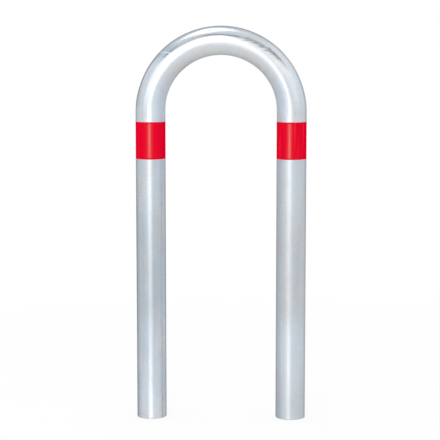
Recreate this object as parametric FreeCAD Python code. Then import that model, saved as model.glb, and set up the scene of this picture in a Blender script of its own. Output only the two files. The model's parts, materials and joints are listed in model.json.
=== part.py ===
"""Guard hoop for a charging point: a cold-bent, galvanised steel tube with a reflective band round each leg.

Millimetres, +Z up. The origin is level with the feet, midway between the two legs. The hoop stands in the XZ
plane, with its front towards -Y.
"""

import FreeCAD, Part
import math
import os

# Tube: round, seam-welded steel, cut square at both feet
TUBE_DIAMETER = 60.3
TUBE_WALL = 2.9
FOOT_CHAMFER = 0.8

# Hoop: two upright legs joined by a half-circle bend
HOOP_HEIGHT = 800.0
LEG_SPACING = 285.0

# Cold bend: past a short run-in the section is flattened in the plane of the bend and spread across it,
# and its wall is thinner on the outside of the bend and thicker on the inside
BEND_FLATTENING = 1.8
BEND_SPREAD = 1.2
BEND_WALL_SHIFT = 0.5
BEND_RUN_IN = 60.0
BEND_SECTIONS = 24

# Weld bead: the ridge that the tube's long seam leaves inside the bore, along the back
BEAD_RADIUS = 1.5
BEAD_HEIGHT = 0.8

# Reflective bands: a strip of film round each leg, with its end lapped over its start at the back
BAND_HEIGHT = 75.0
BAND_DROP = 192.0
FILM_THICKNESS = 0.09
FILM_GLUE = 0.02
LAP_LENGTH = 12.0
LAP_CLIMB = 5.0

# Worked out from the sizes above
TUBE_RADIUS = TUBE_DIAMETER / 2
BORE_RADIUS = TUBE_RADIUS - TUBE_WALL
BEND_RADIUS = LEG_SPACING / 2
LEG_LENGTH = HOOP_HEIGHT - BEND_RADIUS - TUBE_RADIUS + BEND_FLATTENING / 2
BEND_CENTRE = FreeCAD.Vector(0, 0, LEG_LENGTH)
BEAD_OFFSET = BORE_RADIUS - BEAD_HEIGHT + BEAD_RADIUS
BAND_BOTTOM = HOOP_HEIGHT - BAND_DROP - BAND_HEIGHT

UP = FreeCAD.Vector(0, 0, 1)
BACK = FreeCAD.Vector(0, 1, 0)
LEG_X = {"left": -LEG_SPACING / 2, "right": LEG_SPACING / 2}


def bend_share(angle):
    """How far the section has taken its bent form, from 0 at a leg to 1, at an angle along the bend."""
    distance = math.radians(min(angle, 180 - angle)) * BEND_RADIUS
    t = min(1.0, distance / BEND_RUN_IN)
    return t * t * (3 - 2 * t)


def bend_section(angle, radius, shift):
    """An oval section of the bend, at an angle from the left leg, with its centre shifted outwards."""
    share = bend_share(angle)
    turn = math.radians(angle)
    outward = FreeCAD.Vector(-math.cos(turn), 0, math.sin(turn))
    across_radius = radius + BEND_SPREAD / 2 * share
    in_plane_radius = radius - BEND_FLATTENING / 2 * share
    section = Part.Wire(Part.Ellipse(FreeCAD.Vector(), across_radius, in_plane_radius).toShape())
    centre = BEND_CENTRE + outward * (BEND_RADIUS + shift * share)
    section.Placement = FreeCAD.Placement(centre, FreeCAD.Rotation(BACK, outward, BACK.cross(outward)))
    return section


def round_bar(radius, shift=0.0):
    """The hoop as a solid bar of one radius: two straight legs, and a loft round the bend."""
    angles = [180 * i / BEND_SECTIONS for i in range(BEND_SECTIONS + 1)]
    bend = Part.makeLoft([bend_section(angle, radius, shift) for angle in angles], True)
    legs = [Part.makeCylinder(radius, LEG_LENGTH, FreeCAD.Vector(x, 0, 0)) for x in LEG_X.values()]
    return bend.fuse(legs)


def weld_bead():
    """The bead inside the tube's seam, which follows the back of the bore from foot to foot."""
    feet = [FreeCAD.Vector(x, BEAD_OFFSET, 0) for x in LEG_X.values()]
    legs = [Part.makeCylinder(BEAD_RADIUS, LEG_LENGTH, foot) for foot in feet]
    ring = Part.makeTorus(BEND_RADIUS, BEAD_RADIUS, BEND_CENTRE + BACK * BEAD_OFFSET, BACK)
    corner = FreeCAD.Vector(-LEG_SPACING, 0, LEG_LENGTH)
    upper_half = Part.makeBox(2 * LEG_SPACING, TUBE_DIAMETER, HOOP_HEIGHT, corner)
    return ring.common(upper_half).fuse(legs)


def hoop_tube():
    """The bent tube, open at both feet, with the sharp outer edge taken off its cut ends."""
    tube = round_bar(TUBE_RADIUS).cut(round_bar(BORE_RADIUS, BEND_WALL_SHIFT))
    tube = tube.fuse(weld_bead()).removeSplitter().Solids[0]
    rim_length = math.pi * TUBE_DIAMETER
    foot_edges = [edge for edge in tube.Edges if edge.BoundBox.ZMax < FOOT_CHAMFER]
    rims = [edge for edge in foot_edges if abs(edge.Length - rim_length) < TUBE_WALL]
    return tube.makeChamfer(FOOT_CHAMFER, rims)


def film_arc(start, end, start_radius, end_radius):
    """An arc about the leg's axis between two angles, which climbs evenly from one radius to the other."""
    edge_points = []
    for share in (0, 0.5, 1):
        angle = start + (end - start) * share
        radius = start_radius + (end_radius - start_radius) * share
        edge_points.append(FreeCAD.Vector(radius * math.cos(angle), radius * math.sin(angle), 0))
    return Part.Arc(*edge_points).toShape()


def reflective_band(leg_x):
    """One strip of film: once round the leg from the back, then up and over its own start."""
    lap_angle = LAP_LENGTH / TUBE_RADIUS
    start = (math.pi - lap_angle) / 2
    overlap = start + 2 * math.pi
    climb = overlap - LAP_CLIMB / TUBE_RADIUS
    end = overlap + lap_angle
    film_inside = TUBE_RADIUS + FILM_GLUE
    film_outside = film_inside + FILM_THICKNESS
    lap_inside = film_outside + FILM_GLUE
    lap_outside = lap_inside + FILM_THICKNESS

    inside = [
        film_arc(start, climb, film_inside, film_inside),
        film_arc(climb, overlap, film_inside, lap_inside),
        film_arc(overlap, end, lap_inside, lap_inside),
    ]
    outside = [
        film_arc(end, overlap, lap_outside, lap_outside),
        film_arc(overlap, climb, lap_outside, film_outside),
        film_arc(climb, start, film_outside, film_outside),
    ]
    tail_cut = Part.makeLine(inside[-1].lastVertex().Point, outside[0].firstVertex().Point)
    start_cut = Part.makeLine(outside[-1].lastVertex().Point, inside[0].firstVertex().Point)
    outline = Part.Wire(inside + [tail_cut] + outside + [start_cut])
    band = Part.Face(outline).extrude(UP * BAND_HEIGHT)
    return band.translate(FreeCAD.Vector(leg_x, 0, BAND_BOTTOM))


nodes = {"hoop_tube": hoop_tube()}
for side, leg_x in LEG_X.items():
    nodes[side + "_reflective_band"] = reflective_band(leg_x)

os.makedirs("parts", exist_ok=True)
for name, solid in nodes.items():
    solid.exportStep("parts/" + name + ".step")
    print(name, "valid" if solid.isValid() else "not valid", round(solid.Volume, 1), "mm3")
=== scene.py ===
"""Dresses the charging point guard hoop: a bent galvanised tube with a red reflective band on each leg.

Lengths are in metres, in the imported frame: +Z up, the front towards -Y, and the origin midway between
the legs, level with the feet.
"""

from __future__ import annotations

import json
import logging
import math
from dataclasses import asdict, dataclass
from enum import Enum
from typing import Any, ClassVar

import bpy
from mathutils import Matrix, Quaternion, Vector

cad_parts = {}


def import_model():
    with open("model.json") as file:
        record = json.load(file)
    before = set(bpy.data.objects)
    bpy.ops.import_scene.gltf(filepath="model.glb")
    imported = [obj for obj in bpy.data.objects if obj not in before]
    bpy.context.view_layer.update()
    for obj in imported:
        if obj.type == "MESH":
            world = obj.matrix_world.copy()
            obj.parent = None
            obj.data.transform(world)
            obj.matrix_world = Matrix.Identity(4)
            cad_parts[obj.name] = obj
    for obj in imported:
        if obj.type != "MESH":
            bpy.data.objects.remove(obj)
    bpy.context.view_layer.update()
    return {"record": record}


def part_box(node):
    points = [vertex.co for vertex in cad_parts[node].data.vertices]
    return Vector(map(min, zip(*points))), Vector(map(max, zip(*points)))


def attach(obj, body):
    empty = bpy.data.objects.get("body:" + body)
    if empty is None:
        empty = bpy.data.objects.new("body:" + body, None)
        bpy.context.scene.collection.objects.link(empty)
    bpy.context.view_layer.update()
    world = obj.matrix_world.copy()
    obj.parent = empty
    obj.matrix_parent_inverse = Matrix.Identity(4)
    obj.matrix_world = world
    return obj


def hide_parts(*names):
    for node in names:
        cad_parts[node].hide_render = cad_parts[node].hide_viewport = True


LOG = logging.getLogger("guard_hoop")
BODY = "root"
MM = 0.001

TUBE_PLACE = "tube_place"
FILM_PLACE = "film_place"

Colour = tuple[float, float, float]
Point = tuple[float, float, float]
Span = tuple[float, float]
Hill = tuple[float, float, float, float]

# Parts of a direction lie between -1 and 1, so a hill has no slope there with these ends
NO_START: Span = (-3.0, -2.0)
NO_END: Span = (2.0, 3.0)

WHITE: Colour = (1.0, 1.0, 1.0)
WARM_WHITE: Colour = (1.0, 0.98, 0.95)


def srgb(red: int, green: int, blue: int) -> Colour:
    """Turns a colour as a screen shows it into the linear values that nodes take.

    Args:
        red: Red, from 0 to 255.
        green: Green, from 0 to 255.
        blue: Blue, from 0 to 255.

    Returns:
        The linear colour.
    """
    shares = [channel / 255 for channel in (red, green, blue)]
    linear = [c / 12.92 if c <= 0.04045 else ((c + 0.055) / 1.055) ** 2.4 for c in shares]
    return (linear[0], linear[1], linear[2])


def find_socket(sockets: Any, key: str | int) -> bpy.types.NodeSocket:
    """Finds a socket of a node.

    Args:
        sockets: The node's inputs or outputs.
        key: The socket's place, or its name among the sockets in use.

    Returns:
        The socket.
    """
    if isinstance(key, int):
        return sockets[key]
    return next(socket for socket in sockets if socket.enabled and socket.name == key)


class Value:
    """A node's output that takes part in Python arithmetic: each operation adds its Math node."""

    def __init__(self, graph: Graph, socket: bpy.types.NodeSocket | None) -> None:
        """Wraps an output socket, or none for a node that only takes inputs."""
        self.graph = graph
        self.socket = socket

    def out(self, name: str) -> Value:
        """Gives another output of the same node, by name."""
        return Value(self.graph, find_socket(self.socket.node.outputs, name))

    def maths(self, operation: str, *operands: Value | float) -> Value:
        """Adds a Math node.

        Args:
            operation: The node's operation.
            operands: What it works on, in order.

        Returns:
            The node's result.
        """
        return self.graph.add("ShaderNodeMath", {"operation": operation}, dict(enumerate(operands)))

    def __add__(self, other: Value | float) -> Value:
        """Adds."""
        return self.maths("ADD", self, other)

    def __radd__(self, other: float) -> Value:
        """Adds to a number."""
        return self.maths("ADD", other, self)

    def __sub__(self, other: Value | float) -> Value:
        """Subtracts."""
        return self.maths("SUBTRACT", self, other)

    def __rsub__(self, other: float) -> Value:
        """Subtracts from a number."""
        return self.maths("SUBTRACT", other, self)

    def __mul__(self, other: Value | float) -> Value:
        """Multiplies."""
        return self.maths("MULTIPLY", self, other)

    def __rmul__(self, other: float) -> Value:
        """Multiplies a number."""
        return self.maths("MULTIPLY", other, self)

    def __truediv__(self, other: Value | float) -> Value:
        """Divides."""
        return self.maths("DIVIDE", self, other)

    def __rtruediv__(self, other: float) -> Value:
        """Divides a number."""
        return self.maths("DIVIDE", other, self)

    def __neg__(self) -> Value:
        """Turns the sign round."""
        return self.maths("MULTIPLY", self, -1.0)

    def __abs__(self) -> Value:
        """Drops the sign."""
        return self.maths("ABSOLUTE", self)

    def at_least(self, floor: Value | float) -> Value:
        """Raises what is lower than the floor to it."""
        return self.maths("MAXIMUM", self, floor)

    def at_most(self, ceiling: Value | float) -> Value:
        """Lowers what is higher than the ceiling to it."""
        return self.maths("MINIMUM", self, ceiling)

    def clamped(self) -> Value:
        """Keeps the value between 0 and 1."""
        return self.graph.add("ShaderNodeClamp", sockets={"Value": self})

    def step(self, start: float, end: float) -> Value:
        """Climbs smoothly from 0 at the start to 1 at the end."""
        reach = {"Value": self, "From Min": start, "From Max": end}
        return self.graph.add("ShaderNodeMapRange", {"interpolation_type": "SMOOTHSTEP"}, reach)

    def hill(self, start: float, top: float, fall: float, end: float) -> Value:
        """Climbs smoothly from 0 to 1, stays there, and goes back to 0."""
        return self.step(start, top) * (1 - self.step(fall, end))


class Graph:
    """A node tree, with one method that adds any node."""

    def __init__(self, tree: bpy.types.NodeTree) -> None:
        """Takes over a tree and clears it."""
        self.tree = tree
        self.tree.nodes.clear()

    def add(
        self,
        kind: str,
        settings: dict[str, Any] | None = None,
        sockets: dict[str | int, Any] | None = None,
    ) -> Value:
        """Adds a node.

        Args:
            kind: The node's type.
            settings: The node's own options, which are set first.
            sockets: A value or a link for each input, by name or place.

        Returns:
            The node's first output in use.
        """
        node = self.tree.nodes.new(kind)
        for name, setting in (settings or {}).items():
            setattr(node, name, setting)
        for key, value in (sockets or {}).items():
            self.feed(find_socket(node.inputs, key), value)
        return Value(self, next((socket for socket in node.outputs if socket.enabled), None))

    def feed(self, socket: bpy.types.NodeSocket, value: Any) -> None:
        """Links a value to an input, or sets the input to a constant.

        Args:
            socket: The input.
            value: A Value to link, or a constant of the socket's own kind.
        """
        if isinstance(value, Value):
            self.tree.links.new(value.socket, socket)
        elif socket.type == "RGBA":
            socket.default_value = (*value, 1.0)
        else:
            socket.default_value = value

    def combine(self, x: Value | float, y: Value | float, z: Value | float) -> Value:
        """Makes a vector of three values."""
        return self.add("ShaderNodeCombineXYZ", sockets={"X": x, "Y": y, "Z": z})

    def split(self, vector: Value) -> Value:
        """Splits a vector into its X, which has Y and Z beside it."""
        return self.add("ShaderNodeSeparateXYZ", sockets={"Vector": vector})

    def stretch(self, vector: Value, scale: Point) -> Value:
        """Multiplies a vector by a scale along each axis."""
        return self.add("ShaderNodeVectorMath", {"operation": "MULTIPLY"}, {0: vector, 1: scale})

    def noise(self, vector: Value, size: float, detail: float = 2.0) -> Value:
        """Adds soft noise.

        Args:
            vector: Where it is read.
            size: Its grain, in metres.
            detail: How many finer layers it has.

        Returns:
            The noise, from 0 to 1 and mostly near a half.
        """
        sockets = {"Vector": vector, "Scale": 1 / size, "Detail": detail, "Roughness": 0.5}
        return self.add("ShaderNodeTexNoise", sockets=sockets)

    def cells(self, vector: Value, size: float) -> Value:
        """Adds a pattern of cells, whose outputs are its distances and colours.

        Args:
            vector: Where it is read.
            size: A cell's size, in metres.

        Returns:
            The distance to a cell's middle, in cells.
        """
        sockets = {"Vector": vector, "Scale": 1 / size}
        return self.add("ShaderNodeTexVoronoi", {"feature": "F1"}, sockets)

    def blend(self, factor: Value, first: Value | Colour, second: Value | Colour) -> Value:
        """Mixes two colours by a factor."""
        sockets = {"Factor": factor, "A": first, "B": second}
        return self.add("ShaderNodeMix", {"data_type": "RGBA"}, sockets)


class Surface(Graph):
    """A new material's nodes."""

    def __init__(self, name: str) -> None:
        """Makes the material.

        Args:
            name: The material's name.
        """
        self.material = bpy.data.materials.new(name)
        self.material.use_nodes = True
        super().__init__(self.material.node_tree)

    def facing(self) -> Value:
        """Climbs from 0, seen head-on, to 1 at the outline."""
        return self.add("ShaderNodeLayerWeight", sockets={"Blend": 0.5}).out("Facing")

    def bump(self, height: Value) -> Value:
        """Tilts the surface by a relief, in millimetres."""
        return self.add("ShaderNodeBump", sockets={"Strength": 1.0, "Distance": MM, "Height": height})

    def finish(self, shader: Value) -> bpy.types.Material:
        """Puts a shader on the surface.

        Args:
            shader: The shader.

        Returns:
            The material.
        """
        self.add("ShaderNodeOutputMaterial", sockets={"Surface": shader})
        return self.material


class Recipe(Graph):
    """A Geometry Nodes tree with named inputs, which makes one piece."""

    KINDS: ClassVar[dict[type, str]] = {
        float: "NodeSocketFloat",
        int: "NodeSocketInt",
        bpy.types.Material: "NodeSocketMaterial",
    }

    def __init__(self, name: str) -> None:
        """Makes an empty tree.

        Args:
            name: The tree's name.
        """
        super().__init__(bpy.data.node_groups.new(name, "GeometryNodeTree"))
        self.tree.interface.new_socket("Geometry", in_out="OUTPUT", socket_type="NodeSocketGeometry")
        self.inputs = self.tree.nodes.new("NodeGroupInput")
        self.settings: dict[str, Any] = {}

    def size(self, name: str, value: Any) -> Value:
        """Adds a named input.

        Args:
            name: The input's name.
            value: What the piece sets it to.

        Returns:
            The input.
        """
        kind = self.KINDS[type(value)]
        socket = self.tree.interface.new_socket(name, in_out="INPUT", socket_type=kind)
        self.settings[socket.identifier] = value
        return Value(self, self.inputs.outputs[name])

    def sheet(self, across: Value, along: Value) -> Value:
        """Adds a flat sheet of quads.

        Args:
            across: How many quads it has along X.
            along: How many it has along Y.

        Returns:
            The sheet, from -0.5 to 0.5 along both.
        """
        return self.add("GeometryNodeMeshGrid", sockets={
            "Size X": 1.0,
            "Size Y": 1.0,
            "Vertices X": across + 1,
            "Vertices Y": along + 1,
        })

    def corners(self) -> Value:
        """Gives the place of each corner along X, which has Y and Z beside it."""
        return self.split(self.add("GeometryNodeInputPosition"))

    def mark(self, mesh: Value, name: str, vector: Value) -> Value:
        """Stores a vector on a mesh.

        Args:
            mesh: The mesh.
            name: The name that materials read it by.
            vector: The vector.

        Returns:
            The mesh with the vector on it.
        """
        sockets = {"Geometry": mesh, "Name": name, "Value": vector}
        return self.add("GeometryNodeStoreNamedAttribute", {"data_type": "FLOAT_VECTOR"}, sockets)

    def make(self, name: str, mesh: Value, material: bpy.types.Material) -> bpy.types.Object:
        """Ends the tree and turns what it makes into a plain mesh.

        Args:
            name: The piece's name.
            mesh: The tree's mesh.
            material: The piece's finish.

        Returns:
            The piece, with no modifier left on it.
        """
        smooth = self.add("GeometryNodeSetShadeSmooth", sockets={"Geometry": mesh})
        real = self.add("GeometryNodeRealizeInstances", sockets={"Geometry": smooth})
        finish = {"Geometry": real, "Material": self.size("Finish", material)}
        dressed = self.add("GeometryNodeSetMaterial", sockets=finish)
        self.add("NodeGroupOutput", sockets={"Geometry": dressed})

        piece = bpy.data.objects.new(name, bpy.data.meshes.new(name))
        bpy.context.scene.collection.objects.link(piece)
        modifier = piece.modifiers.new(self.tree.name, "NODES")
        modifier.node_group = self.tree
        for identifier, value in self.settings.items():
            modifier[identifier] = value
        evaluated = piece.evaluated_get(bpy.context.evaluated_depsgraph_get())
        plain = bpy.data.meshes.new_from_object(evaluated)
        piece.modifiers.remove(modifier)
        piece.data = plain
        return piece


class Leg(Enum):
    """The two legs, seen from the front."""

    LEFT = "left"
    RIGHT = "right"


@dataclass(frozen=True)
class Weights:
    """How much the zinc's textures and zones add to a value, each under its own name."""

    base: float = 0.0

    def over(self, parts: dict[str, Value]) -> Value:
        """Adds up the textures and zones that the value depends on.

        Args:
            parts: All textures and zones, by name.

        Returns:
            The value, which starts from the base.
        """
        weights = asdict(self)
        total = weights.pop("base")
        for name, weight in weights.items():
            total = total + parts[name] * weight
        return total


@dataclass(frozen=True)
class ZincShade(Weights):
    """What lightens or darkens the zinc, as a factor on its colour, including painted highlights and
    shade.
    """

    base: float = 1.0
    lines: float = 0.18
    cross_grain: float = 0.1
    crystal_tones: float = 0.02
    patches: float = -0.03
    ticks: float = 0.03
    seam: float = -0.05
    # Painted highlight on the inner flank of the bend
    flank: float = 0.05
    # Painted highlight on the inner side of the bend's low ends
    low_inner: float = 0.07
    # Painted shade along the innermost line of the bend, high up
    high_innermost: float = -0.14
    # Painted shade: a dim band across the front of the legs' middle
    handled: float = -0.1
    # Painted highlight: a glint low on the right leg
    clean: float = 0.06
    right_leg: float = 0.01
    # Painted highlight on the front of the feet, less on the right foot, and painted shade at their
    # sides
    foot_front: float = 0.06
    right_foot_front: float = -0.1
    foot_sides: float = -0.1


@dataclass(frozen=True)
class ZincGloss(Weights):
    """What makes the zinc rougher or smoother."""

    base: float = 0.27
    clouds: float = 0.04
    crystals: float = 0.015
    lines: float = 0.1
    specks: float = 0.012
    outer: float = -0.09
    inner: float = 0.27
    right_leg: float = 0.11
    worn: float = 0.03
    clean: float = -0.05
    seam: float = 0.05


@dataclass(frozen=True)
class ZincMetal(Weights):
    """How metallic the zinc is, and what dulls it."""

    base: float = 0.86
    patches: float = -0.06
    inner: float = -0.2


@dataclass(frozen=True)
class ZincRelief(Weights):
    """What stands out from the zinc's face, in millimetres."""

    peel: float = 0.0008
    lines: float = 0.0025
    ticks: float = 0.02
    mark: float = 0.1
    seam: float = 0.02
    strokes: float = 0.62


@dataclass(frozen=True)
class GalvanisedZinc:
    """Bright hot-dip zinc: cool satin grey with soft clouds, faint crystals and lines along the tube,
    and highlights and shade painted into its colour.
    """

    tube_radius: float
    bend_start: float
    bend_radius: float
    name: str = "galvanised_steel"
    grey: Colour = srgb(207, 211, 217)
    blue: Colour = srgb(195, 207, 218)
    dull: Colour = srgb(201, 203, 206)
    bright: Colour = srgb(238, 242, 245)
    neutral: Colour = srgb(209, 211, 211)
    edge_tint: Colour = (0.32, 0.34, 0.36)
    patch_share: float = 0.7
    right_share: float = 0.35
    clean_share: float = 0.4
    inner_share: float = 0.8
    shade: Weights = ZincShade()
    gloss: Weights = ZincGloss()
    metal: Weights = ZincMetal()
    relief: Weights = ZincRelief()
    cloud_size: float = 80 * MM
    patch_size: float = 28 * MM
    crystal_size: float = 9 * MM
    line_width: float = 2.2 * MM
    grain_width: float = 3.2 * MM
    speck_size: float = 1.1 * MM
    peel_size: float = 6 * MM
    stroke_width: float = 4.6 * MM
    tick_spacing: float = 5.5 * MM
    tick_row: float = 18 * MM
    mark_angle: float = math.radians(44)
    mark_slope: float = 0.8
    mark_edge: Span = (0.4 * MM, 1.4 * MM)
    seam_edge: Span = (1.25 * MM, 2.5 * MM)
    front_edge: Span = (0.0, 4 * MM)
    rub_angles: Hill = (1.72, 1.9, 2.15, 2.35)
    rub_shares: Hill = (0.1, 0.3, 0.65, 0.85)
    handled_heights: Hill = (0.17, 0.25, 0.37, 0.45)
    clean_heights: Hill = (0.04, 0.1, 0.17, 0.23)
    foot_heights: Span = (0.06, 0.16)

    def material(self) -> bpy.types.Material:
        """Makes the zinc's material.

        Returns:
            The material.
        """
        g = Surface(self.name)
        place = g.add("ShaderNodeTexCoord").out("Object")
        tube = g.add("ShaderNodeAttribute", {"attribute_name": TUBE_PLACE}).out("Vector")
        spot = g.split(tube)
        parts = self.textures(g, place, tube) | self.bend_zones(g, place, spot)
        parts |= self.leg_zones(g, place, spot) | self.marks(g, place, spot)
        shader = g.add("ShaderNodeBsdfPrincipled", sockets={
            "Base Color": self.tone(g, parts),
            "Metallic": self.metal.over(parts),
            "Roughness": self.gloss.over(parts),
            "Specular Tint": self.edge_tint,
            "Normal": g.bump(self.relief.over(parts)),
        })
        return g.finish(shader)

    def tone(self, g: Surface, parts: dict[str, Value]) -> Value:
        """Mixes the zinc's colour.

        Args:
            g: The zinc's nodes.
            parts: Its textures and zones, by name.

        Returns:
            The colour.
        """
        tone = g.blend(parts["clouds"], self.grey, self.blue)
        tone = g.blend(parts["patches"] * self.patch_share, tone, self.dull)
        tone = g.blend(parts["right_leg"] * self.right_share, tone, self.neutral)
        # The painted glint low on the right leg is bluer as well
        tone = g.blend(parts["clean"] * self.clean_share, tone, self.blue)
        inside = g.blend(parts["high"], self.blue, self.neutral)
        tone = g.blend(parts["inner"] * self.inner_share, tone, inside)
        # The tool's line takes a painted highlight
        tone = g.blend(parts["mark"], tone, self.bright)
        shade = self.shade.over(parts)
        return g.add("ShaderNodeMix", {"data_type": "RGBA", "blend_type": "MULTIPLY"}, {
            "Factor": 1.0,
            "A": tone,
            "B": g.combine(shade, shade, shade),
        })

    def textures(self, g: Surface, place: Value, tube: Value) -> dict[str, Value]:
        """Makes the textures that lie all over the zinc.

        Args:
            g: The zinc's nodes.
            place: Place in the hoop.
            tube: Place on the tube.

        Returns:
            The textures, by name.
        """
        cells = g.cells(place, self.crystal_size).out("Color")
        crystals = g.add("ShaderNodeSeparateColor", sockets={"Color": cells})
        return {
            "clouds": g.noise(place, self.cloud_size).step(0.35, 0.65),
            "patches": g.noise(g.stretch(tube, (1, 1, 0.4)), self.patch_size).step(0.4, 0.75),
            "crystals": crystals - 0.5,
            "crystal_tones": crystals.out("Green") - 0.5,
            "lines": g.noise(g.stretch(tube, (1, 1, 0.012)), self.line_width, 3.0) - 0.5,
            "cross_grain": g.noise(g.stretch(tube, (0.2, 0.2, 1)), self.grain_width) - 0.5,
            "specks": g.noise(place, self.speck_size) - 0.5,
            "peel": g.noise(place, self.peel_size, 1.0),
        }

    def bend_zones(self, g: Surface, place: Value, spot: Value) -> dict[str, Value]:
        """Finds the sides of the bend, where highlights and shade are painted on it, and the row of
        ticks pressed into its inner side.

        Args:
            g: The zinc's nodes.
            place: Place in the hoop.
            spot: Place on the tube: backwards, outwards and along it.

        Returns:
            The zones, by name.
        """
        start = self.bend_start
        end = start + math.pi * self.bend_radius
        run = spot.out("Z")
        bent = run.hill(start - 0.03, start + 0.01, end - 0.01, end + 0.03)
        axes = g.split(place)
        high = axes.out("Z").step(start + 0.03, start + 0.1)
        outwards = spot.out("Y") / self.tube_radius
        inwards = -outwards
        outer = bent * outwards.step(0, 0.4)
        inner = bent * inwards.step(0, 0.5)
        broken = g.noise(place, self.tick_row, 1.0).step(0.42, 0.62)
        ticks = run.maths("SINE", run * (math.tau / self.tick_spacing)) * broken
        return {
            "high": high,
            "outer": outer,
            "worn": outer * axes.step(0.01, 0.07),
            "inner": inner,
            # Painted highlight on the inner side of the bend's low ends
            "low_inner": inner * (1 - high),
            # Painted shade along the innermost line of the bend, high up
            "high_innermost": bent * inwards.step(0.6, 1.0) * high,
            # Painted highlight on the inner flank of the bend
            "flank": bent * inwards.hill(0, 0.15, 0.3, 0.6),
            "ticks": bent * inwards.step(0.2, 0.6) * ticks,
        }

    def leg_zones(self, g: Surface, place: Value, spot: Value) -> dict[str, Value]:
        """Finds the paler and darker places along the legs: the right leg's paler zinc, a painted dim
        band, a painted glint, and painted highlight and shade at the feet.

        Args:
            g: The zinc's nodes.
            place: Place in the hoop.
            spot: Place on the tube: backwards, outwards and along it.

        Returns:
            The zones, by name.
        """
        axes = g.split(place)
        height = axes.out("Z")
        right_leg = axes.step(-0.15, 0.15) * (1 - height.step(0.45, 0.7))
        sides = abs(spot.out("Y") / self.tube_radius).step(0.4, 0.9)
        front = 1 - sides
        feet = 1 - height.step(*self.foot_heights)
        return {
            "right_leg": right_leg,
            # Painted shade: a dim band across the front of the legs' middle
            "handled": height.hill(*self.handled_heights) * front,
            # Painted highlight: a glint low on the right leg
            "clean": right_leg * height.hill(*self.clean_heights),
            # Painted highlight on the front of the feet, less on the right foot, and painted shade at
            # their sides
            "foot_front": feet * front,
            "right_foot_front": feet * front * right_leg,
            "foot_sides": feet * sides,
        }

    def marks(self, g: Surface, place: Value, spot: Value) -> dict[str, Value]:
        """Makes the bending tool's line, with a painted highlight as its pale colour, its strokes and
        the trace of the tube's weld.

        Args:
            g: The zinc's nodes.
            place: Place in the hoop.
            spot: Place on the tube: backwards, outwards and along it.

        Returns:
            The marks, by name.
        """
        radius = self.tube_radius
        outwards = spot.out("Y")
        run = spot.out("Z") - self.bend_start
        front = (-spot).step(*self.front_edge)

        # A fine line across the front of the left shoulder: pressed in as a bump, with a painted
        # highlight as its pale colour
        aside = run - self.mark_angle * self.bend_radius + (outwards - radius) * self.mark_slope
        shoulder = outwards.step(radius * 0.25, radius * 0.4) * front
        mark = (1 - abs(aside).step(*self.mark_edge)) * shoulder

        # Level strokes rubbed into the front of the right shoulder
        strokes = g.noise(g.stretch(place, (0.14, 0.14, 1)), self.stroke_width, 1.0) - 0.5
        turn = run / self.bend_radius
        rubbed = turn.hill(*self.rub_angles) * (outwards / radius).hill(*self.rub_shares) * front

        # The weld's flat trace along the back
        seam = (1 - abs(outwards).step(*self.seam_edge)) * spot.step(0, radius * 0.5)
        return {"mark": mark, "strokes": strokes * rubbed, "seam": seam}


@dataclass(frozen=True)
class RedFilm:
    """Red reflective film: saturated, glossy, with fine glass beads under its face and faint streaks."""

    height: float
    name: str = "red_reflective_film"
    red: Colour = srgb(226, 0, 41)
    deep: Colour = srgb(212, 0, 34)
    pale: Colour = srgb(234, 38, 50)
    streak_width: float = 3 * MM
    streak_share: float = 0.5
    wear_width: float = 4 * MM
    wear_share: float = 0.2
    more_wear_right: float = 0.5
    rim_edge: Span = (0.2 * MM, 1.2 * MM)
    rim_share: float = 0.5
    bead_size: float = 0.6 * MM
    bead_relief: float = 0.004
    roughness: float = 0.4
    streak_roughness: float = 0.2
    coat: float = 0.06
    streak_coat: float = 0.1
    coat_roughness: float = 0.3

    def material(self) -> bpy.types.Material:
        """Makes the film's material.

        Returns:
            The material.
        """
        g = Surface(self.name)
        place = g.add("ShaderNodeTexCoord").out("Object")
        right = g.split(place).step(-0.1, 0.1)
        film = g.add("ShaderNodeAttribute", {"attribute_name": FILM_PLACE}).out("Vector")
        up = g.split(film).out("Y")
        streaks = g.noise(g.stretch(film, (1, 0.05, 1)), self.streak_width)
        # Pale streaks: partly wear, partly painted sheen, which is stronger on the right band
        worn = g.noise(g.stretch(film, (1, 0.04, 1)), self.wear_width, 1.0).step(0.5, 0.7)
        rim = 1 - up.at_most(self.height - up).step(*self.rim_edge)
        beads = g.cells(place, self.bead_size)
        head_on = 1 - g.facing().step(0.15, 0.6)

        tone = g.blend(streaks.step(0.35, 0.7) * self.streak_share, self.red, self.deep)
        tone = g.blend(worn * (self.wear_share + right * self.more_wear_right), tone, self.pale)
        tone = g.blend(rim * self.rim_share, tone, self.deep)
        shader = g.add("ShaderNodeBsdfPrincipled", sockets={
            "Base Color": tone,
            "Roughness": self.roughness + (streaks - 0.5) * self.streak_roughness,
            "Specular IOR Level": 0.0,
            "Coat Weight": head_on * (self.coat + (streaks - 0.5) * self.streak_coat),
            "Coat Roughness": self.coat_roughness,
            "Normal": g.bump(beads * self.bead_relief),
        })
        return g.finish(shader)


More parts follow.
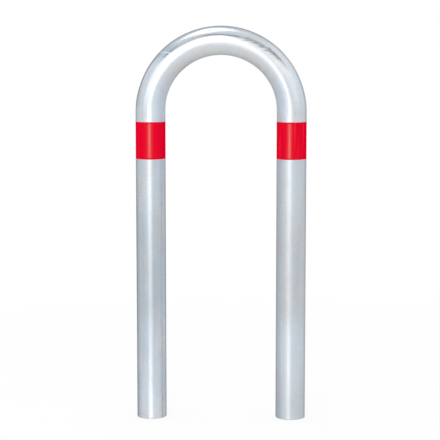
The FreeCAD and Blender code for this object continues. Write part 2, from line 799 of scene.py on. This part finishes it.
@dataclass(frozen=True)
class PaleFloor:
    """A plain white floor that keeps a soft shadow and fades into the white background."""

    name: str = "pale_floor"
    white: Colour = (0.93, 0.93, 0.93)
    glow: float = 0.85
    glow_fade: Span = (0.9, 1.7)
    near_sheen: Colour = (0.96, 0.96, 0.96)
    far_sheen: Colour = (0.78, 0.78, 0.78)
    sheen_fade: Span = (0.5, 1.3)
    sheen_roughness: float = 0.06
    grazing: Span = (0.3, 0.6)

    def material(self) -> bpy.types.Material:
        """Makes the floor's material.

        Returns:
            The material.
        """
        g = Surface(self.name)
        place = g.add("ShaderNodeTexCoord").out("Object")
        distance = g.add("ShaderNodeVectorMath", {"operation": "LENGTH"}, {0: place}).out("Value")
        matt = g.add("ShaderNodeBsdfDiffuse", sockets={"Color": self.white})
        plain = g.add("ShaderNodeEmission", sockets={"Color": WHITE, "Strength": 1.0})
        fade = distance.step(*self.glow_fade)
        share = seen_background(g) * (self.glow + (1 - self.glow) * fade)
        base = g.add("ShaderNodeMixShader", sockets={0: share, 1: matt, 2: plain})

        # Only what the tube mirrors at a low angle shows the sheen
        shine = {"Roughness": self.sheen_roughness}
        near = g.add("ShaderNodeBsdfGlossy", sockets={**shine, "Color": self.near_sheen})
        far = g.add("ShaderNodeBsdfGlossy", sockets={**shine, "Color": self.far_sheen})
        away = distance.step(*self.sheen_fade)
        sheen = g.add("ShaderNodeMixShader", sockets={0: away, 1: near, 2: far})
        mirrored = g.add("ShaderNodeLightPath").out("Is Glossy Ray") * g.facing().step(*self.grazing)
        return g.finish(g.add("ShaderNodeMixShader", sockets={0: mirrored, 1: base, 2: sheen}))


def seen_background(graph: Graph) -> Value:
    """Tells rays that show the background from rays that carry its light.

    Args:
        graph: The nodes that ask.

    Returns:
        1 for camera, glossy and transmission rays, and 0 for others.
    """
    path = graph.add("ShaderNodeLightPath")
    seen = path.out("Is Camera Ray") + path.out("Is Glossy Ray") + path.out("Is Transmission Ray")
    return seen.at_most(1.0)


@dataclass
class HoopTube:
    """The bent tube, as one skin from foot to foot, over the rims and back through the bore."""

    radius: float
    leg_x: float
    height: float
    band_bottom: float
    band_top: float
    wall: float = 2.9 * MM
    flattening: float = 1.8 * MM
    spread: float = 1.2 * MM
    wall_shift: float = 0.5 * MM
    run_in: float = 60 * MM
    rim_round: float = 0.8 * MM
    bead_height: float = 0.8 * MM
    bead_half_width: float = 1.4 * MM
    bead_start: float = 0.9
    waves: float = 0.10 * MM
    wave_size: float = 70 * MM
    lumps: float = 0.035 * MM
    lump_size: float = 17 * MM
    runs: float = 1.0 * MM
    run_size: float = 13 * MM
    run_angles: Hill = (1.80, 2.05, 2.40, 2.65)
    run_shares: Hill = (0.15, 0.45, 0.8, 0.97)
    band_margin: Span = (1 * MM, 12 * MM)
    merge_distance: float = 0.001 * MM
    around: int = 96
    rings_outside: int = 720
    rings_rim: int = 8
    rings_bore: int = 110
    name: str = "galvanised_tube"

    @property
    def leg_length(self) -> float:
        """The length of a leg, from its foot to the start of the bend."""
        return self.height - self.leg_x - self.radius + self.flattening / 2

    def build(self, material: bpy.types.Material) -> bpy.types.Object:
        """Makes the tube.

        Args:
            material: Its finish.

        Returns:
            The tube's object.
        """
        g = Recipe("tube_skin")
        around = g.size("Segments Around", self.around)
        outside = g.size("Rings Outside", self.rings_outside)
        rim = g.size("Rings On A Rim", self.rings_rim)
        inside = g.size("Rings In The Bore", self.rings_bore)
        radius = g.size("Tube Radius", self.radius)
        wall = g.size("Wall", self.wall)
        bend = g.size("Bend Radius", self.leg_x)
        leg = g.size("Leg Length", self.leg_length)
        rings = outside + 2 * rim + inside

        grid = g.sheet(around, rings)
        flat = g.corners()
        turn = (flat + 0.5) * math.tau
        ring = (flat.out("Y") + 0.5) * rings

        # The rings run up the outside, over the far rim, back through the bore and over the near rim
        out_share = (ring / outside).clamped()
        far_rim = ((ring - outside) / rim).clamped()
        bore_share = ((ring - outside - rim) / inside).clamped()
        near_rim = ((ring - outside - rim - inside) / rim).clamped()
        depth = far_rim - near_rim
        from_middle = depth * 2 - 1
        rounding = from_middle * from_middle
        lift = g.size("Rim Round", self.rim_round) * rounding * rounding
        length = leg * 2 + bend * math.pi
        run = (length * (out_share - bore_share)).at_least(lift).at_most(length - lift)

        angle = ((run - leg) / bend).at_least(0.0).at_most(math.pi)
        below = (leg - run).at_least(0.0) + (run - leg - bend * math.pi).at_least(0.0)
        bent = (angle.at_most(math.pi - angle) * bend / g.size("Bend Run-in", self.run_in)).clamped()
        share = bent * bent * (3 - 2 * bent)
        back = turn.maths("COSINE", turn)
        out = turn.maths("SINE", turn)
        body = radius - wall * depth
        across = body + g.size("Bend Spread", self.spread) / 2 * share
        in_plane = body - g.size("Bend Flattening", self.flattening) / 2 * share
        shift = g.size("Bend Wall Shift", self.wall_shift) * share * depth

        smooth_place = self.place(g, angle, below, bend, leg, in_plane * out, across * back)
        relief = self.relief(g, smooth_place, run, length)
        relief = relief + self.zinc_runs(g, smooth_place, angle, back, out)
        in_bore = (depth - self.bead_start).at_least(0.0) / (1 - self.bead_start)
        relief = relief * (1 - depth) + self.bead(g, back, out, radius - wall) * in_bore
        outwards = (in_plane - relief) * out + shift
        backwards = (across - relief) * back

        marked = g.mark(grid, TUBE_PLACE, g.combine(radius * back, radius * out, run))
        place = self.place(g, angle, below, bend, leg, outwards, backwards)
        skin = g.add("GeometryNodeSetPosition", sockets={"Geometry": marked, "Position": place})
        seams = {"Geometry": skin, "Distance": self.merge_distance}
        closed = g.add("GeometryNodeMergeByDistance", sockets=seams)
        return g.make(self.name, closed, material)

    @staticmethod
    def place(
        g: Recipe, angle: Value, below: Value, bend: Value, leg: Value, outwards: Value, backwards: Value
    ) -> Value:
        """Finds a point of a section in the hoop.

        Args:
            g: The tube's tree.
            angle: Angle along the bend from the left leg.
            below: Distance below the bend, on a leg.
            bend: The bend's radius.
            leg: The leg's length.
            outwards: How far the point lies from the tube's centre line, away from the bend's centre.
            backwards: How far it lies behind the hoop's plane.

        Returns:
            The point.
        """
        reach = bend + outwards
        x = -(reach * angle.maths("COSINE", angle))
        z = leg + reach * angle.maths("SINE", angle) - below
        return g.combine(x, backwards, z)

    def relief(self, g: Recipe, place: Value, run: Value, length: Value) -> Value:
        """Works out how far the zinc's face lies under the tube's full radius.

        Args:
            g: The tube's tree.
            place: Where the point lies.
            run: Its distance along the tube.
            length: The tube's length.

        Returns:
            The depth, which is 0 under the bands.
        """
        waves = g.noise(place, self.wave_size, 1.0) * g.size("Zinc Waves", self.waves)
        lumps = g.noise(place, self.lump_size, 1.0) * g.size("Zinc Lumps", self.lumps)
        height = run.at_most(length - run)
        near, wide = self.band_margin
        low = height.step(self.band_bottom - wide, self.band_bottom - near)
        high = height.step(self.band_top + near, self.band_top + wide)
        return (waves + lumps) * (1 - low + high)

    def zinc_runs(self, g: Recipe, place: Value, angle: Value, back: Value, out: Value) -> Value:
        """Works out the uneven zinc on the front of the right shoulder: runs with hollows between them.

        Args:
            g: The tube's tree.
            place: Where the point lies.
            angle: Its angle along the bend from the left leg.
            back: Share of its direction that points back.
            out: Share that points outwards in the hoop's plane.

        Returns:
            The depth, which is 0 away from that shoulder.
        """
        along = angle.hill(*self.run_angles)
        across = out.hill(*self.run_shares) * (-back).step(0.0, 0.25)
        depth = (g.noise(place, self.run_size, 1.0) - 0.5) * g.size("Zinc Runs", self.runs)
        return depth * along * across

    def bead(self, g: Recipe, back: Value, out: Value, bore: Value) -> Value:
        """Works out the height of the weld bead along the back of the bore.

        Args:
            g: The tube's tree.
            back: Share of a point's direction that points back.
            out: Share that points outwards in the hoop's plane.
            bore: The bore's radius.

        Returns:
            The height.
        """
        aside = out * bore / g.size("Bead Half Width", self.bead_half_width)
        crown = (1 - aside * aside).at_least(0.0) * back.at_least(0.0)
        return crown * g.size("Bead Height", self.bead_height)


@dataclass
class ReflectiveBand:
    """A strip of film wrapped once round a leg, with its end lapped over its start at the back."""

    side: Leg
    leg_x: float
    tube_radius: float
    film_radius: float
    bottom: float
    top: float
    glue: float = 0.02 * MM
    lap_length: float = 12 * MM
    lap_climb: float = 5 * MM
    around: int = 216
    rows: int = 24

    @property
    def name(self) -> str:
        """The piece's name."""
        return f"{self.side.value}_band_film"

    def build(self, material: bpy.types.Material) -> bpy.types.Object:
        """Makes the band.

        Args:
            material: Its finish.

        Returns:
            The band's object.
        """
        g = Recipe(self.name + "_strip")
        around = g.size("Segments Along", self.around)
        rows = g.size("Rows", self.rows)
        radius = g.size("Inside Radius", self.tube_radius + self.glue)
        thickness = self.film_radius - self.tube_radius - self.glue
        lap = g.size("Lap Length", self.lap_length) / radius
        climb = g.size("Lap Climb", self.lap_climb) / radius
        height = g.size("Height", self.top - self.bottom)

        grid = g.sheet(around, rows)
        flat = g.corners()
        along = (flat + 0.5) * (math.tau + lap)
        up = (flat.out("Y") + 0.5) * height
        angle = math.pi / 2 - lap / 2 + along
        climbed = ((along - math.tau) / climb + 1).clamped()
        reach = radius + climbed * g.size("Lap Rise", thickness + self.glue)
        x = g.size("Leg X", self.leg_x) + reach * angle.maths("COSINE", angle)
        y = reach * angle.maths("SINE", angle)
        z = g.size("Bottom", self.bottom) + up

        marked = g.mark(grid, FILM_PLACE, g.combine(along * radius, up, 0.0))
        place = g.combine(x, y, z)
        strip = g.add("GeometryNodeSetPosition", sockets={"Geometry": marked, "Position": place})
        piece = g.make(self.name, strip, material)
        film = piece.modifiers.new("film_thickness", "SOLIDIFY")
        film.thickness = thickness
        film.offset = 1.0
        return piece


@dataclass
class GuardHoop:
    """The whole hoop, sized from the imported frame."""

    tube: HoopTube
    bands: list[ReflectiveBand]

    @classmethod
    def from_frame(cls, record: dict[str, Any]) -> GuardHoop:
        """Reads the hoop's sizes from the frame.

        Args:
            record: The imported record.

        Returns:
            The hoop.
        """
        mounts = {mount["name"]: mount for mount in record["mounts"]}
        leg = mounts["right_leg"]
        radius = leg["dims"]["r_mm"] * MM
        bands = []
        for side in Leg:
            low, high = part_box(f"{side.value}_reflective_band")
            leg_x = mounts[f"{side.value}_leg"]["pos_m"][0]
            film_radius = min(leg_x - low.x, high.x - leg_x)
            bands.append(ReflectiveBand(side, leg_x, radius, film_radius, low.z, high.z))
        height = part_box("hoop_tube")[1].z
        tube = HoopTube(radius, leg["pos_m"][0], height, bands[0].bottom, bands[0].top)
        return cls(tube, bands)

    def build(self) -> None:
        """Builds the pieces and puts them on the frame."""
        zinc = GalvanisedZinc(self.tube.radius, self.tube.leg_length, self.tube.leg_x)
        tube = self.tube.build(zinc.material())
        self.settle(tube, "hoop_tube", "galvanised_steel")
        film = RedFilm(height=self.bands[0].top - self.bands[0].bottom).material()
        for band in self.bands:
            self.settle(band.build(film), f"{band.side.value}_reflective_band", "red_reflective_film")

    @staticmethod
    def settle(piece: bpy.types.Object, node: str, slot: str) -> None:
        """Lets a piece stand for its solid.

        Args:
            piece: The piece.
            node: The solid's name.
            slot: The material slot that it would take its finish from; not used.
        """
        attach(piece, BODY)
        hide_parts(node)
        LOG.info("%s stands for %s: %d faces", piece.name, node, len(piece.data.polygons))


@dataclass(frozen=True)
class SoftBox:
    """A soft lamp, with the brightness of its face, where 1 shows as white."""

    name: str
    place: Point
    aim: Point
    width: float
    height: float
    brightness: float
    tint: Colour = WHITE
    roll: float = 0.0
    lit: tuple[str, ...] = ()

    def hang(self) -> None:
        """Puts the lamp into the scene."""
        lamp = bpy.data.lights.new(self.name, "AREA")
        lamp.shape = "RECTANGLE"
        lamp.size = self.width
        lamp.size_y = self.height
        lamp.energy = self.brightness * math.pi * self.width * self.height
        lamp.color = self.tint
        obj = bpy.data.objects.new(self.name, lamp)
        obj.location = self.place
        obj.rotation_mode = "QUATERNION"
        facing = (Vector(self.aim) - Vector(self.place)).to_track_quat("-Z", "Y")
        obj.rotation_quaternion = facing @ Quaternion((0.0, 0.0, 1.0), math.radians(self.roll))
        obj.visible_camera = False
        if self.lit:
            obj.visible_diffuse = False
            obj.light_linking.receiver_collection = bpy.data.collections.new(self.name + "_lights")
            for name in self.lit:
                obj.light_linking.receiver_collection.objects.link(bpy.data.objects[name])
        bpy.context.scene.collection.objects.link(obj)


@dataclass(frozen=True)
class WallGlow:
    """A brighter part of the walls, with its reach to the right, upwards and forwards."""

    tone: Colour
    aside: Hill
    up: Hill
    forward: Hill = (*NO_START, *NO_END)

    def cover(self, aside: Value, up: Value, forward: Value) -> Value:
        """Gives 1 in the glow and 0 elsewhere."""
        return aside.hill(*self.aside) * up.hill(*self.up) * forward.hill(*self.forward)


@dataclass(frozen=True)
class DarkGap:
    """The dark gap above the front boxes, in degrees above the front, which climbs to both sides."""

    tone: Colour = (0.15, 0.17, 0.20)
    bottom: Span = (41.0, 45.0)
    top: float = 50.5
    top_fade: float = 5.5
    middle_fade: float = 3.5
    left_end_fade: float = 4.5
    left_climb: float = 31.0
    right_climb: float = 18.0
    middle_drop: float = 2.2
    left_drop: float = 8.0
    left_top_drop: float = 2.5
    left_end_bottom: float = 8.0
    left_end_top: float = 2.0
    right_bottom: float = 4.0
    right_top: float = 3.0
    right_end_top: float = 7.0
    stroke_start: float = 0.2
    stroke_spacing: float = 0.12
    stroke_height: float = 24.0
    faint_left: float = 0.45
    faint_left_end: float = 0.12
    wedge_rise: Span = (68.0, 80.0)
    wedge_share: float = 0.34

    def cover(self, aside: Value, rise: Value) -> Value:
        """Finds the gap.

        Args:
            aside: How far a direction points to the right.
            rise: Its angle above the front, in degrees.

        Returns:
            1 in the gap and 0 elsewhere.
        """
        left = (-aside).at_least(0.0)
        right = aside.at_least(0.0)
        middle = 1 - right.step(0.0, 0.25)
        left_end = left.step(0.42, 0.56)
        right_arm = right.step(0.2, 0.35)
        right_end = right.step(0.5, 0.6)

        climb = left * self.left_climb + right * right * self.right_climb
        drop = middle * self.middle_drop + left.step(0.2, 0.45) * self.left_drop
        stroke = aside.maths("FRACT", (aside - self.stroke_start) / self.stroke_spacing) - 0.5
        broken = stroke * right.hill(0.14, 0.24, 0.52, 0.64) * self.stroke_height
        lean = rise + drop - climb - broken

        deeper = right_arm * self.right_bottom + left_end * self.left_end_bottom
        bottom = (lean + deeper).step(*self.bottom)
        higher = right_arm * self.right_top + right_end * self.right_end_top
        higher = higher + left_end * self.left_end_top - left.step(0.12, 0.3) * self.left_top_drop
        above = lean - higher - self.top
        fade = self.top_fade + middle * self.middle_fade + left_end * self.left_end_fade
        top = (above / fade).step(0, 1)

        ends = (1 - left.step(0.66, 0.79)) * (1 - right.step(0.66, 0.84))
        faint = left.hill(0.2, 0.32, 0.48, 0.58) * self.faint_left + left_end * self.faint_left_end
        wedge = left.hill(0.57, 0.66, 0.7, 0.8) * rise.step(*self.wedge_rise) * self.wedge_share
        return (bottom * (1 - top) * ends * (1 - faint)).at_least(wedge)


@dataclass
class Studio:
    """White surroundings, a pale floor and soft lamps."""

    floor_radius: float = 6.0
    floor_drop: float = 0.3 * MM
    floor_sides: int = 96
    room_light: Colour = (0.90, 0.91, 0.92)
    back_tone: Colour = (0.80, 0.82, 0.84)
    back_rise: Span = (115.0, 150.0)
    back_end: Span = (0.2, 0.5)
    left_back: WallGlow = WallGlow(
        (1.28, 1.29, 1.30), (-0.92, -0.82, -0.75, -0.68), (0.1, 0.35, *NO_END), (*NO_START, -0.4, -0.25)
    )
    right_side: WallGlow = WallGlow((1.16, 1.17, 1.18), (0.35, 0.65, *NO_END), (0.05, 0.35, *NO_END))
    left_front: WallGlow = WallGlow(
        (1.85, 1.82, 1.77), (-0.92, -0.58, -0.34, -0.2), (-0.07, 0.04, 0.5, 0.62), (0.05, 0.35, *NO_END)
    )
    right_front: WallGlow = WallGlow(
        (1.40, 1.39, 1.37), (0.0, 0.12, 0.75, 0.98), (-0.01, 0.12, 0.48, 0.58), (0.05, 0.35, *NO_END)
    )
    gap: DarkGap = DarkGap()
    lamps: tuple[SoftBox, ...] = (
        SoftBox("low_front_box", (-0.26, -1.4, 0.09), (-0.26, 0.0, 0.09), 0.62, 0.10, 0.7, WARM_WHITE),
        SoftBox("mid_front_box", (-0.26, -1.4, 0.345), (-0.26, 0.0, 0.345), 0.62, 0.41, 1.1, WARM_WHITE),
        SoftBox(
            "high_front_box", (-0.24, -1.4, 1.235), (-0.24, 0.0, 1.235), 0.66, 1.37, 1.6, WARM_WHITE
        ),
        SoftBox("top_box", (-0.36, 0.22, 2.3), (-0.36, 0.22, 0.4), 1.05, 1.05, 1.5, roll=45.0),
        SoftBox(
            "band_box", (-0.26, -1.4, 0.47), (-0.26, 0.0, 0.47), 0.28, 0.7, 150.0,
            tint=(0.45, 1.0, 0.72), lit=("left_band_film", "right_band_film"),
        ),
    )

    def build(self) -> None:
        """Sets up the floor, the surroundings and the lamps."""
        self.lay_floor()
        self.paint_room()
        for lamp in self.lamps:
            lamp.hang()

    def lay_floor(self) -> None:
        """Lays a round floor just under the feet."""
        edge = []
        for i in range(self.floor_sides):
            turn = math.tau * i / self.floor_sides
            corner = Vector((math.cos(turn), math.sin(turn), 0.0)) * self.floor_radius
            edge.append((corner.x, corner.y, -self.floor_drop))
        mesh = bpy.data.meshes.new("floor")
        mesh.from_pydata(edge, [], [list(range(self.floor_sides))])
        mesh.materials.append(PaleFloor().material())
        floor = bpy.data.objects.new("floor", mesh)
        bpy.context.scene.collection.objects.link(floor)

    def paint_room(self) -> None:
        """Makes the surroundings white where they show, with even light from all round."""
        world = bpy.data.worlds.new("white_room")
        world.use_nodes = True
        bpy.context.scene.world = world
        g = Graph(world.node_tree)
        glossy = g.add("ShaderNodeLightPath").out("Is Glossy Ray")
        shown = g.blend(glossy, WHITE, self.walls(g))
        tone = g.blend(seen_background(g), self.room_light, shown)
        room = g.add("ShaderNodeBackground", sockets={"Color": tone, "Strength": 1.0})
        g.add("ShaderNodeOutputWorld", sockets={"Surface": room})

    def walls(self, g: Graph) -> Value:
        """Paints what the tube mirrors: white walls with brighter parts, and the dark gap.

        Args:
            g: The room's nodes.

        Returns:
            The colour in each direction.
        """
        direction = g.add("ShaderNodeTexCoord").out("Generated")
        aside = g.split(direction)
        forward = -aside.out("Y")
        up = aside.out("Z")
        rise = up.maths("ARCTAN2", up, forward) * math.degrees(1.0)

        # The floor doesn't mirror the glows
        direct = (2 - g.add("ShaderNodeLightPath").out("Glossy Depth")).clamped()
        far = rise.step(*self.back_rise) * (1 - aside.step(*self.back_end))
        walls = g.blend(far, WHITE, self.back_tone)
        for glow in (self.left_back, self.right_side, self.left_front, self.right_front):
            walls = g.blend(glow.cover(aside, up, forward) * direct, walls, glow.tone)
        return g.blend(self.gap.cover(aside, rise), walls, self.gap.tone)


@dataclass(frozen=True)
class Viewpoint:
    """The camera, at the photograph's view angle."""

    aim: Point = (-0.002, 0.0, 0.4077)
    distance: float = 3.2
    azimuth: float = 1.8
    elevation: float = 7.0
    lens: float = 128.74
    sensor: float = 36.0

    def build(self) -> None:
        """Sets up the camera."""
        azimuth = math.radians(self.azimuth)
        elevation = math.radians(self.elevation)
        level = math.cos(elevation)
        back = Vector((math.sin(azimuth) * level, -math.cos(azimuth) * level, math.sin(elevation)))
        camera = bpy.data.cameras.new("camera")
        camera.lens = self.lens
        camera.sensor_width = self.sensor
        obj = bpy.data.objects.new("camera", camera)
        obj.location = Vector(self.aim) + back * self.distance
        obj.rotation_mode = "QUATERNION"
        obj.rotation_quaternion = (-back).to_track_quat("-Z", "Y")
        bpy.context.scene.collection.objects.link(obj)
        bpy.context.scene.camera = obj


def main() -> None:
    """Loads the frame, then builds the hoop, the studio and the camera."""
    logging.basicConfig(level=logging.INFO, format="%(message)s")
    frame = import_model()
    bpy.context.scene.view_settings.view_transform = "Standard"
    GuardHoop.from_frame(frame["record"]).build()
    Studio().build()
    Viewpoint().build()


if __name__ == "__main__":
    main()
